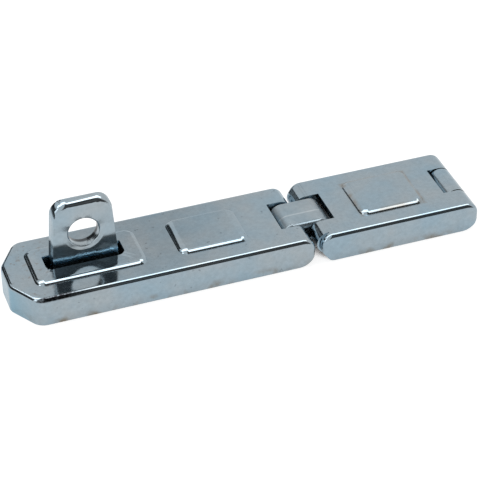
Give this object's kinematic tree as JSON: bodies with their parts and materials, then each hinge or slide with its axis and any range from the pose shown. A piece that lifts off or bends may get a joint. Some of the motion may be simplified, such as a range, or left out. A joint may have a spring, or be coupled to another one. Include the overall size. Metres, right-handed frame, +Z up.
{
  "type": "hasp",
  "caption": "Double-jointed steel hasp: slotted long arm, linked short arm on a concealed screw leaf, and a staple whose eye takes a padlock shackle.",
  "frame": {"origin": "middle of the closed hasp's footprint, on the surface that it is screwed to", "axes": "+X from the free end of the long arm to the fixed hinge, +Y across the hasp to the staple's back, +Z up off the door"},
  "size_m": [0.195, 0.0406, 0.0403],
  "materials": {
    "zinc_arm": "bright zinc plate, blue passivated",
    "zinc_link": "bright zinc plate, blue passivated",
    "zinc_leaf": "bright zinc plate, blue passivated",
    "zinc_staple": "bright zinc plate, blue passivated",
    "pin_steel": "plain drawn steel"
  },
  "bodies": {
    "base": {"fixed_leaf": "zinc_leaf", "staple": "zinc_staple"},
    "short_arm": {"short_arm": "zinc_arm", "short_pin": "pin_steel", "leaf_pin": "pin_steel"},
    "link": {"link": "zinc_link"},
    "long_arm": {"long_arm": "zinc_arm", "long_pin": "pin_steel"}
  },
  "joints": [
    {"name": "leaf_hinge", "type": "hinge", "parent": "base", "child": "short_arm", "pos_m": [0.09245, 0, 0.00745], "axis": [0, 1, 0], "range_deg": [0, 180]},
    {"name": "short_hinge", "type": "hinge", "parent": "short_arm", "child": "link", "pos_m": [0.0323, 0, 0.00745], "axis": [0, 1, 0], "range_deg": [0, 90]},
    {"name": "long_hinge", "type": "hinge", "parent": "link", "child": "long_arm", "pos_m": [0.0207, 0, 0.00745], "axis": [0, 1, 0], "range_deg": [0, 85]}
  ]
}
